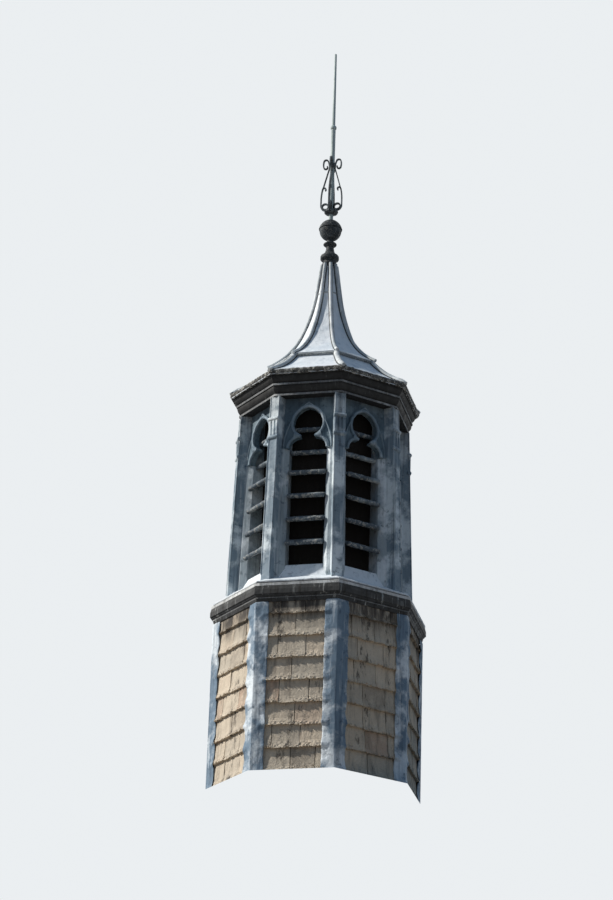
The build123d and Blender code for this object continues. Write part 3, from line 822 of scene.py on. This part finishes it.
def louvre_blade(number):
    """A sloping board with a thick rolled nose of lead."""
    lowest = sill_height + blade_first_rise
    height = lowest + number * (springing + blade_last_rise - lowest) / (blade_count - 1)
    nose = wall_plane(height) - nose_set_back
    if height + nose_radius > springing:
        nose = wall_plane(height) - head_depth - nose_radius - 0.003
    depth = (nose - lining_face) / cos(blade_slope)
    bpy.ops.mesh.primitive_cylinder_add(
        vertices=20, radius=nose_radius, depth=2 * blade_half, rotation=(0, pi / 2, 0)
    )
    roll = named("roll")
    edit()
    for cut in range(1, nose_cuts):
        choose_all()
        place = (-blade_half + 2 * blade_half * cut / nose_cuts, 0, 0)
        bpy.ops.mesh.bisect(plane_co=place, plane_no=(1, 0, 0))
    choose("FACE", lambda middle: abs(middle.x) > blade_half - 0.001)
    bpy.ops.mesh.bevel(offset=0.009, segments=3, affect="EDGES")
    done()
    bpy.ops.mesh.primitive_cube_add(size=1, location=(0, depth / 2, 0))
    bpy.context.object.scale = (2 * blade_half, depth, blade_thickness)
    board = named("board")
    edit()
    choose("FACE", lambda middle: middle.y < 0.001)
    bpy.ops.mesh.inset(thickness=0.004)
    done()
    board.rotation_euler.x = blade_slope
    blade = joined([board, roll], "blade")
    blade.location = (0, -nose, height)
    return blade


def louvres():
    blades = [louvre_blade(number) for number in range(blade_count)]
    stack = joined(blades, "louvre_stack")
    for side, side_name in zip(on_each_side(stack, "leaded_louvres"), side_names):
        lumps(side, 0.035, 0.009)
        placed(soften(side, 40), "louvre_lead", f"louvres_{side_name}")


# roof: the line of each slope, from the top down
neck_top_radius = 0.066
bell_top = (0.114, 5.143)
flare_top = (0.250, 4.660)
spire_foot = (0.553, 4.312)
roof_thickness = 0.032
skirt_hollow = 0.028
drip_edge_top = drip_edge_foot + 0.050
drip_edge_thickness = 0.020 * across
neck_heading = heading_of((neck_top_radius, spire_top), bell_top)


def side_line(point):
    """A point of a hip, given at its corner, brought to the middle of the side."""
    return point[0] * across, point[1]


def spire_bends(top, shoulder, waist, foot):
    """The bell's bend and the flare's, each leaving along the heading before it."""
    heading = heading_of(top, shoulder)
    bell = tangent_bend(shoulder, heading, waist, 10)
    flare = tangent_bend(waist, heading + bell[1], foot, 14)
    return bell, flare, heading + bell[1] + flare[1]


def roof_lines():
    """The outer lines of both flights in the middle of a side, and the spire's lower lip."""
    top = side_line((neck_top_radius, spire_top))
    shoulder, waist, foot = side_line(bell_top), side_line(flare_top), side_line(spire_foot)
    bell, flare, fall = spire_bends(top, shoulder, waist, foot)
    under = (foot[0] + sin(fall) * roof_thickness, foot[1] - cos(fall) * roof_thickness)
    neck = [tuple(Vector(top).lerp(Vector(shoulder), share / 6)) for share in range(6)]
    spire = neck + [shoulder] + bend_points(shoulder, bell) + bend_points(waist, flare)
    edge = (drip_edge_face, drip_edge_top)
    hollow = tangent_bend(under, heading_of(under, edge, skirt_hollow), edge, 12)
    skirt = [under] + bend_points(under, hollow)
    return spire, skirt, under


spire_line, skirt_line, spire_under = roof_lines()


def ring_of_lead(name, profile, cuts, size, depth, slot, finish=None):
    """A closed eight-sided moulding, made uneven."""
    ring = eight_sided(name, profile + profile[:1], cuts)
    lumps(ring, size, depth)
    placed(soften(ring, 45), slot, finish=finish)


def spire_sheets():
    """The upper flight, eight sheets of lead with a welted seam round the neck."""
    sheets = eight_sided("spire_sheets", spire_line, cuts=7)
    work(sheets, "SOLIDIFY", thickness=roof_thickness, offset=-1)
    lumps(sheets, 0.22, 0.005)
    lumps(sheets, 0.06, 0.002)
    placed(soften(sheets, 28), "roof_lead", "roof_spire")
    face, height = side_line(bell_top)
    seam = [
        (face - 0.006, height - 0.007), (face + 0.005, height - 0.006), (face + 0.008, height),
        (face + 0.004, height + 0.007), (face - 0.008, height + 0.008),
    ]
    ring_of_lead("spire_seam", seam, 3, 0.03, 0.003, "roll_lead", "seam_lead")
    face, height = side_line(spire_foot)
    lip = [
        (face - 0.010, height - 0.006), (face + 0.006, height - 0.012),
        (face + 0.012, height - 0.022), (face + 0.002, height - 0.036),
        (face - 0.020, height - 0.034),
    ]
    ring_of_lead("spire_lip", lip, 11, 0.04, 0.004, "roof_lead", "seam_lead")


def skirt_sheets():
    """The lower flight, closed by the back of its drip edge."""
    back = drip_edge_face - drip_edge_thickness
    edge = [
        (drip_edge_face, drip_edge_foot), (back, drip_edge_foot), (back, cornice_top),
        (back - 0.034, cornice_top),
    ]
    inner = [(face - 0.022, height - 0.030) for face, height in reversed(skirt_line[:-1])]
    sheets = eight_sided("skirt_sheets", skirt_line + edge + inner + skirt_line[:1], cuts=15)
    lumps(sheets, 0.2, 0.005)
    lumps(sheets, 0.05, 0.002)
    placed(soften(sheets, 32), "roof_lead", "roof_skirt")


def drip_edge():
    """The thick rough edge of the roof, turned down over the cornice."""
    face, top, foot = drip_edge_face, drip_edge_top, drip_edge_foot
    profile = [
        (face - 0.030, top + 0.004), (face - 0.006, top + 0.003), (face + 0.005, top - 0.008),
        (face + 0.007, top - 0.026), (face + 0.005, foot + 0.010), (face - 0.003, foot - 0.002),
        (face - 0.018, foot - 0.001), (face - 0.020, top - 0.020),
    ]
    ring = eight_sided("drip_edge", profile + profile[:1], cuts=31)
    lumps(ring, 0.020, 0.012)
    lumps(ring, 0.07, 0.006)
    placed(soften(ring, 40), "roof_lead", finish="edge_lead")


# hip rolls: a section is (in the plane, across it)
roll_rise = 0.008
undercut_strip_sink = 0.012
roll_section, roll_undercut_section = (0.034, 0.034), (0.020, 0.046)
batten_section, batten_undercut_section = (0.048, 0.056), (0.022, 0.068)
roll_sides = 14


def hip_rolls():
    """Round rolls of lead down the hips, over a dark strip that shows along both sides of each
    roll: dirt together with painted shade in the undercut.
    """
    out = toward(neck_heading + pi / 2)
    top = Vector((neck_top_radius, spire_top)) + out * roll_rise
    neck = (Vector(bell_top) - Vector((neck_top_radius, spire_top))).length / 3
    bell, flare, _ = spire_bends((neck_top_radius, spire_top), bell_top, flare_top, spire_foot)
    run = [neck, neck, neck, bell, flare]
    roll = swept("roll", top, neck_heading, roll_section, run + [0.024], roll_sides)
    # the dark strips under the roll and batten: dirt together with painted shade in the undercut
    joint = swept(
        "roll_joint", top - out * undercut_strip_sink, neck_heading, roll_undercut_section, run, roll_sides
    )
    edge = Vector((drip_edge_face / across, drip_edge_top))
    under = Vector((spire_under[0] / across, spire_under[1]))
    heading = heading_of(under, edge, skirt_hollow)
    bend = tangent_bend(under, heading, edge, 10)
    out = toward(heading + pi / 2)
    start = under + out * roll_rise - toward(heading) * 0.03
    run = [0.03, bend]
    batten_joint = swept(
        "batten_joint", start - out * undercut_strip_sink, heading, batten_undercut_section, run, roll_sides
    )
    batten = swept("batten", start, heading, batten_section, run + [0.012, 0.010], roll_sides)
    edit()
    for reach, share in ((0.016, 0.8), (0.006, 0.6)):
        choose("VERT", lambda point: point.x > edge.x + reach)
        spread(share, share, share, (edge.x + reach, 0, edge.y))
    done()
    joints = all_round(joined([joint, batten_joint], "roll_undercut_dirt_and_shade"), half_turn)
    placed(soften(joints, 45), "roll_lead", finish="undercut_dirt_and_shade")
    rolls = all_round(joined([roll, batten], "dressed_hip_rolls"), half_turn)
    lumps(rolls, 0.05, 0.004)
    placed(soften(rolls, 45), "roll_lead", "hip_rolls")


# thin pale fillets on the mouldings, and the lip of the apron
eaves_face = face_of("eaves_cornice")
fillet_depth = 0.020


def fillet(name, face, foot, height, finish="fillet_lead"):
    head, back = foot + height, face - fillet_depth
    profile = [(face + 0.003, foot), (face + 0.004, head), (back, head), (back, foot)]
    ring_of_lead(name, profile, 15, 0.04, 0.003, "cornice_lead", finish)


def mouldings():
    """Lead dressed over the fillets of both cornices, and over the top of the lower one."""
    fillet("lower_eaves_fillet", eaves_face - 0.062, lantern_top + 0.001, 0.019)
    fillet("upper_eaves_fillet", eaves_face - 0.034, lantern_top + 0.101, 0.018)
    drum_face = face_of("drum_cornice")
    fillet("bed_fillet", drum_face - 0.0286, cladding_top + 0.032, 0.010)
    # paler than the other fillets: a painted highlight along the crown, with lichen
    fillet("crown_fillet", drum_face - 0.0126, deck_top - 0.032, 0.028, "crown_lead_painted_highlight")


def apron_lip():
    """The wavy edge of the apron, standing clear of the moulding below."""
    face = face_of("lantern_apron")
    foot = deck_top + 0.014
    profile = [
        (face - 0.030, foot + 0.024), (face - 0.002, foot + 0.020), (face + 0.008, foot + 0.010),
        (face + 0.006, foot), (face - 0.004, foot - 0.001), (face - 0.012, foot + 0.006),
    ]
    ring_of_lead("apron_lip", profile, 31, 0.055, 0.014, "apron_lead")


# finial
ball_seat = foot_of("finial_ball")
rod_seat = top_of("finial_ball")
# radius and rise over the top of the spire
collar_profile = (
    (0.0, -0.03), (0.064, -0.03), (0.066, 0.0), (0.073, 0.004), (0.076, 0.012),
    (0.074, 0.020), (0.066, 0.026), (0.063, 0.044), (0.068, 0.056), (0.083, 0.062),
    (0.091, 0.070), (0.093, 0.082), (0.092, 0.100), (0.086, 0.110), (0.076, 0.117),
    (0.066, 0.124), (0.058, 0.132), (0.050, 0.146), (0.043, 0.166), (0.039, 0.188),
    (0.037, 0.210), (0.042, 0.217), (0.055, 0.222), (0.063, 0.229), (0.0665, 0.237),
    (0.063, 0.245), (0.052, 0.251), (0.041, 0.255), (0.035, 0.264), (0.034, 0.276),
)
lower_ball, upper_ball, ball_ledge = 0.110, 0.115, 0.010
rod_joint = 7.045


def finial_collar():
    """The turned collar and baluster."""
    profile = [(radius, spire_top + rise) for radius, rise in collar_profile]
    base = lathed("turned_collar", profile + [(0.038, ball_seat), (0.0, ball_seat)], 48)
    lumps(base, 0.03, 0.005)
    placed(base, "finial_lead", "finial_base")


def ball_arc(radius, first, last, steps):
    """Points of a ball's outline, from one angle over its middle to another."""
    middle = (ball_seat + rod_seat) / 2
    turns = [first + (last - first) * step / 16 for step in steps]
    return [(radius * cos(turn), middle + radius * sin(turn)) for turn in turns]


def finial_ball():
    """Two halves of sheet lead, the upper lapped over the lower."""
    half = (rod_seat - ball_seat) / 2
    ledge = ball_seat + half + ball_ledge
    lap = asin(ball_ledge / lower_ball)
    profile = [(0.0, ball_seat)]
    profile += ball_arc(lower_ball, -asin(half / lower_ball), lap, range(17))
    profile += [(upper_ball + 0.001, ledge - 0.001), (upper_ball + 0.002, ledge + 0.004)]
    profile += ball_arc(upper_ball, lap, asin(half / upper_ball), range(1, 17))
    ball = lathed("sheet_ball", profile + [(0.0, rod_seat)], 56)
    lumps(ball, 0.08, 0.004)
    placed(ball, "finial_lead", "finial_ball")


def finial_rod():
    """Two lengths of rod, the thinner one set in the joint of the other."""
    tip = top_of("finial_rod")
    rod = lathed(
        "rod_and_joint",
        [
            (0.0, rod_seat - 0.004), (0.030, rod_seat - 0.004), (0.030, rod_seat + 0.006),
            (0.022, rod_seat + 0.012), (0.022, rod_joint - 0.022), (0.027, rod_joint - 0.017),
            (0.030, rod_joint - 0.010), (0.030, rod_joint + 0.008), (0.026, rod_joint + 0.016),
            (0.0165, rod_joint + 0.022), (0.0115, tip - 0.012), (0.009, tip - 0.004), (0.0, tip),
        ],
        24,
    )
    placed(rod, "rod_iron", "finial_rod")


# wrought scrollwork
bar = 0.013
bar_depth = 0.022
bracket_reach = 0.112
bracket_height = 6.2228
bracket_bow = 0.600
bracket_lean = 12
leaf_knot_foot = 6.0525
neck_knot_foot = 6.5808
# radius and rise over the knot's foot
leaf_knot = (
    (0.0, 0.0), (0.028, 0.0), (0.038, 0.008), (0.043, 0.024), (0.041, 0.040), (0.034, 0.052),
    (0.030, 0.062), (0.0, 0.062),
)
neck_knot = (
    (0.0, 0.0), (0.031, 0.0), (0.035, 0.009), (0.036, 0.022), (0.035, 0.035), (0.031, 0.044),
    (0.0, 0.044),
)


def curl_runs(start, heading, bends):
    """Arcs of a flowing curl, each (radius, degrees turned, steps), as runs for swept."""
    runs = []
    for radius, degrees, steps in bends:
        angle = radians(degrees)
        side = heading + (pi / 2 if angle > 0 else -pi / 2)
        middle = start + toward(side) * radius
        runs.append((middle, angle, steps))
        side += pi + angle
        start = middle + toward(side) * radius
        heading += angle
    return runs


def scroll_arm():
    """One of four arms: a bracket with curled ends, a strap to the neck and a bow over it."""
    bracket_line = bracket_reach - bar / 2
    middle = Vector((bracket_line, bracket_height))
    lower = swept(
        "bracket_foot", middle, -pi / 2, (bar, bar_depth),
        [0.066, (middle - Vector((0.055, 0.066)), -radians(118), 14)], 4,
    )
    upper = swept(
        "bracket", middle, pi / 2, (bar, bar_depth),
        curl_runs(middle, pi / 2, [(bracket_bow, bracket_lean, 8), (0.017, 230, 16)]), 4,
    )
    volute = Vector((0.061, leaf_knot_foot + 0.094))
    curl = swept(
        "volute", volute - Vector((0.031, 0.036)), pi / 2, (0.014, 0.028),
        [0.036, (volute, -radians(245), 18), (volute + Vector((-0.004, 0.0)), -radians(150), 10)],
        4,
    )
    strap_foot = middle + (toward(radians(bracket_lean * 0.75)) - toward(0)) * bracket_bow
    strap_top = Vector((0.022 + bar / 2, neck_knot_foot))
    strap = swept(
        "strap", strap_foot, heading_of(strap_foot, strap_top), (bar * 0.85, bar_depth),
        [(strap_top - strap_foot).length], 4,
    )
    bow = swept(
        "bow", strap_top, pi / 2, (bar, bar_depth),
        curl_runs(
            strap_top, pi / 2,
            [(0.24, -20, 6), (0.023, -146, 12), (0.14, -30, 6), (0.019, -205, 12)],
        ),
        4,
    )
    return joined([lower, upper, curl, strap, bow], "scroll_arms")


def curled_leaf():
    """A broad leaf that rises from the knot and rolls outward."""
    lobe = Vector((0.047, leaf_knot_foot + 0.030))
    return swept(
        "curled_leaves", lobe - Vector((0.016, 0)), pi / 2, (0.010, 0.042),
        [(lobe, -radians(290), 16)], 4,
    )


def scrollwork():
    """Four arms of flat bar between two knots, with leaves curled round the lower one."""
    arm, leaf = scroll_arm(), curled_leaf()
    for piece, width in ((arm, 0.002), (leaf, 0.003)):
        work(piece, "BEVEL", width=width, segments=2, limit_method="ANGLE", angle_limit=radians(50))
    knots = [
        lathed(name, [(radius, foot + rise) for radius, rise in profile], 24)
        for name, foot, profile in (
            ("leaf_knot", leaf_knot_foot, leaf_knot), ("neck_knot", neck_knot_foot, neck_knot)
        )
    ]
    arms = all_round(arm, 0.0, 4)
    leaves = all_round(leaf, pi / 8, 8)
    lumps(leaves, 0.02, 0.006)
    scrolls = joined([arms, leaves] + knots, "wrought_scrolls")
    placed(soften(scrolls, 40), "scroll_iron", "finial_scrolls")


# arch heads: rounded bands round the lobes, a line of roll round the pointed arch
cusp_half = 0.067
lower_lobe = opening_half - cusp_half
upper_lobe = 0.143
lobe_height = lower_lobe + 0.014 + (upper_lobe**2 - cusp_half**2) ** 0.5
point_rise = 0.170
arch_span = 0.2307
arch_rise = 0.470
arch_band = 0.030


def leaned(piece):
    """Lays a piece, drawn upright with its foot at the springing, on the leaning wall."""
    piece.location = (0, -wall_plane(springing), springing)
    piece.rotation_euler.x = -atan(wall_lean)
    only(piece)
    lay_in()
    return piece


def mirrored(piece):
    """The half of a head with its other half."""
    work(piece, "MIRROR", use_axis=(True, False, False), use_clip=False, use_mirror_merge=False)
    edit()
    face_outwards()
    done()
    return piece


def arch_mouldings():
    """Bands round both lobes, a leaf on each cusp and a roll round the pointed arch."""
    cusp_turn = asin(((upper_lobe**2 - cusp_half**2) ** 0.5) / upper_lobe)
    point_radius = (upper_lobe**2 + point_rise**2) / (2 * upper_lobe)
    point_middle = Vector((upper_lobe - point_radius, lobe_height))
    point_turn = asin(point_rise / point_radius)
    reach = upper_lobe + arch_band * 0.34
    start = Vector((0, lobe_height)) + toward(-cusp_turn) * reach
    upper = swept(
        "upper_band", start, pi / 2 - cusp_turn, (arch_band, 0.026),
        [((0, lobe_height), cusp_turn, 12), (point_middle, point_turn, 14)], 10,
    )
    reach = lower_lobe + arch_band * 0.36
    lower = swept(
        "lower_band", (cusp_half + reach, 0.0), pi / 2, (arch_band, 0.026),
        [((cusp_half, 0.0), pi / 2, 12)], 10,
    )
    arch_radius = (arch_span**2 + arch_rise**2) / (2 * arch_span)
    arch = swept(
        "arch_line", (arch_span, 0.0), pi / 2, (0.016, 0.022),
        [((arch_span - arch_radius, 0.0), asin(arch_rise / arch_radius), 20)], 10,
    )
    cusp_height = lower_lobe + 0.007
    cusp = swept(
        "cusp_leaf", (cusp_half + 0.062, cusp_height + 0.020), radians(195), (0.074, 0.042),
        [0.016, 0.016, 0.014, 0.012, 0.008], 12,
    )
    edit()
    for reach, share in ((0.046, 0.80), (0.030, 0.74), (0.016, 0.70), (0.004, 0.62)):
        choose("VERT", lambda point: point.x < cusp_half + reach)
        spread(1, share, share, (cusp_half + reach, 0, cusp_height + reach * 0.27))
    choose("VERT", lambda point: point.x < cusp_half + 0.004)
    bpy.ops.transform.translate(value=(0, 0, -0.005))
    done()
    bands = all_round(leaned(mirrored(joined([upper, lower, arch, cusp], "arch_bands"))))
    lumps(bands, 0.03, 0.004)
    placed(soften(bands, 45), "head_lead", finish="band_lead")


def post_rolls():
    """Round rolls at the collars and thin welts down both edges of each post."""
    collar_foot = springing + 0.082
    collar_top = collar_foot + 0.225
    face = wall_radius((collar_foot + collar_top) / 2) + post_projection
    parts = []
    for height in (collar_foot + 0.019, collar_top - 0.019):
        bpy.ops.mesh.primitive_cylinder_add(
            vertices=20, radius=0.0215, depth=post_width + 0.024,
            location=(face, 0, height), rotation=(pi / 2, 0, 0),
        )
        roll = named("collar_roll")
        edit()
        choose("FACE", lambda middle: abs(middle.y) > post_width / 2 + 0.011)
        bpy.ops.mesh.bevel(offset=0.007, segments=3, affect="EDGES")
        done()
        parts.append(roll)
    welt_foot = deck_top + 0.14
    start = (wall_radius(welt_foot) + post_projection, welt_foot)
    end = (wall_radius(lantern_top) + post_projection, lantern_top)
    for side in (1, -1):
        welt = swept(
            "post_welt", start, heading_of(start, end), (0.012, 0.012),
            [(Vector(end) - Vector(start)).length], 8,
        )
        welt.location.y = side * post_width / 2
        parts.append(welt)
    rolls = all_round(joined(parts, "post_rolls"), half_turn)
    lumps(rolls, 0.03, 0.003)
    placed(soften(rolls, 45), "post_lead")


# camera, lamps and stage
view_place = (5.838, -25.970, -7.925)
view_heading, view_tilt, view_roll = radians(13.031), radians(23.213), radians(1.862)
backdrop_colour = (0.83, 0.86, 0.88)
bounce_colour = (0.29, 0.26, 0.225)


def camera():
    """The view from below, a little to the right of the front."""
    bpy.ops.object.camera_add()
    view = bpy.context.object
    view.name = "photograph_view"
    view.matrix_world = (
        Matrix.Translation(view_place)
        @ Matrix.Rotation(view_heading, 4, "Z")
        @ Matrix.Rotation(pi / 2 + view_tilt, 4, "X")
        @ Matrix.Rotation(view_roll, 4, "Z")
    )
    view.data.lens = 120
    view.data.clip_end = 200
    bpy.context.scene.camera = view


def lamps():
    """A low warm key on the left and a pale blue light all round."""
    bpy.ops.object.light_add(type="SUN")
    key = bpy.context.object
    key.name = "key"
    azimuth, rise = radians(-167), radians(35)
    place = Vector((cos(azimuth) * cos(rise), sin(azimuth) * cos(rise), sin(rise)))
    key.rotation_euler = place.to_track_quat("Z", "Y").to_euler()
    key.data.energy = 4.9
    key.data.angle = radians(2)
    key.data.color = (1.0, 0.96, 0.90)
    world = bpy.data.worlds.new("blue_ambient")
    bpy.context.scene.world = world
    world.use_nodes = True
    tree = world.node_tree
    tree.nodes.clear()
    light = make(tree, "Background", {"Color": (0.42, 0.66, 1.0, 1), "Strength": 0.28})
    seen = make(tree, "Background", {"Color": (*backdrop_colour, 1), "Strength": 1.0})
    ray = make(tree, "LightPath")
    direct = make(
        tree, "Math",
        {0: ray.outputs["Is Camera Ray"], 1: ray.outputs["Is Glossy Ray"]}, operation="MAXIMUM",
    )
    shader = make(
        tree, "MixShader", {0: direct.outputs[0], 1: light.outputs[0], 2: seen.outputs[0]}
    )
    make(tree, "OutputWorld", {"Surface": shader.outputs[0]})


def see_from_above(tree, tone, below):
    """A dull tone seen from above, and another shader seen from below."""
    dull = make(tree, "BsdfDiffuse", {"Color": tone})
    under = make(tree, "NewGeometry").outputs["Backfacing"]
    shader = make(tree, "MixShader", {0: under, 1: dull.outputs[0], 2: below.outputs[0]})
    make(tree, "OutputMaterial", {"Surface": shader.outputs[0]})


def stage():
    """A pale floor that the view from below looks through, and a pad in the backdrop's tone."""
    bpy.ops.mesh.primitive_circle_add(
        vertices=64, radius=40, fill_type="NGON", location=(0, 0, -0.004)
    )
    floor = named("floor")
    material, tree = new_finish("pale_floor")
    bounced = make(tree, "LightPath").outputs["Is Diffuse Ray"]
    tone = blend(tree, bounced, backdrop_colour, bounce_colour)
    see_from_above(tree, tone, make(tree, "BsdfTransparent"))
    floor.data.materials.append(material)
    bpy.ops.mesh.primitive_circle_add(
        vertices=side_count, radius=1.03, fill_type="NGON", location=(0, 0, -0.002),
        rotation=(0, 0, half_turn),
    )
    pad = named("pad")
    material, tree = new_finish("pad_in_backdrop_tone")
    tone = (*backdrop_colour, 1)
    glow = make(tree, "Emission", {"Color": tone, "Strength": 1.0})
    see_from_above(tree, tone, glow)
    pad.data.materials.append(material)


bpy.context.scene.view_settings.view_transform = "Standard"
finish_nodes()
slates()
corner_leads()
louvres()
spire_sheets()
skirt_sheets()
drip_edge()
hip_rolls()
mouldings()
apron_lip()
finial_collar()
finial_ball()
finial_rod()
scrollwork()
arch_mouldings()
post_rolls()
stage()
lamps()
camera()
